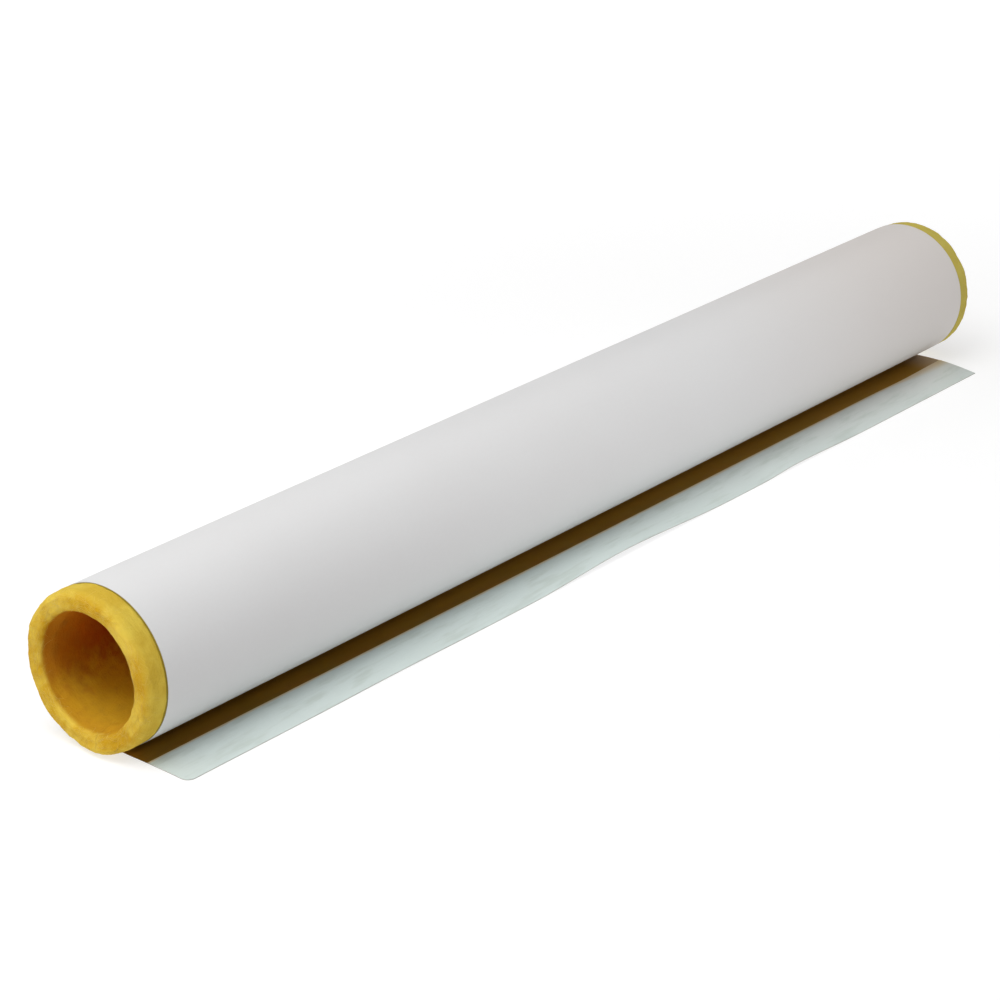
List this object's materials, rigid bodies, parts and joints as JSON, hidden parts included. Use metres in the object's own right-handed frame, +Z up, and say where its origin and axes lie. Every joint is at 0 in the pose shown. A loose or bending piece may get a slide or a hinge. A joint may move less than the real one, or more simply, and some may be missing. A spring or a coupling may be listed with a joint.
{
  "type": "fiberglass pipe insulation section",
  "caption": "Straight tube of fibreglass wool, slit lengthwise to go over a pipe, in a white paper jacket whose lap with a release liner lies opened out flat.",
  "frame": {"origin": "on the bore's axis, half way along the tube", "axes": "+X along the bore towards the far end, +Z up, the lap runs out towards -Y"},
  "size_m": [0.9144, 0.1246, 0.1034],
  "materials": {
    "fiberglass": "matt yellow glass wool with soft cut ends",
    "jacket_paper": "matt white paper laminate, dark brown on its inner face",
    "liner_paper": "smooth pale blue-green release paper"
  },
  "bodies": {
    "root": {"fiberglass_tube": "fiberglass", "jacket": "jacket_paper", "release_liner": "liner_paper"}
  },
  "joints": []
}
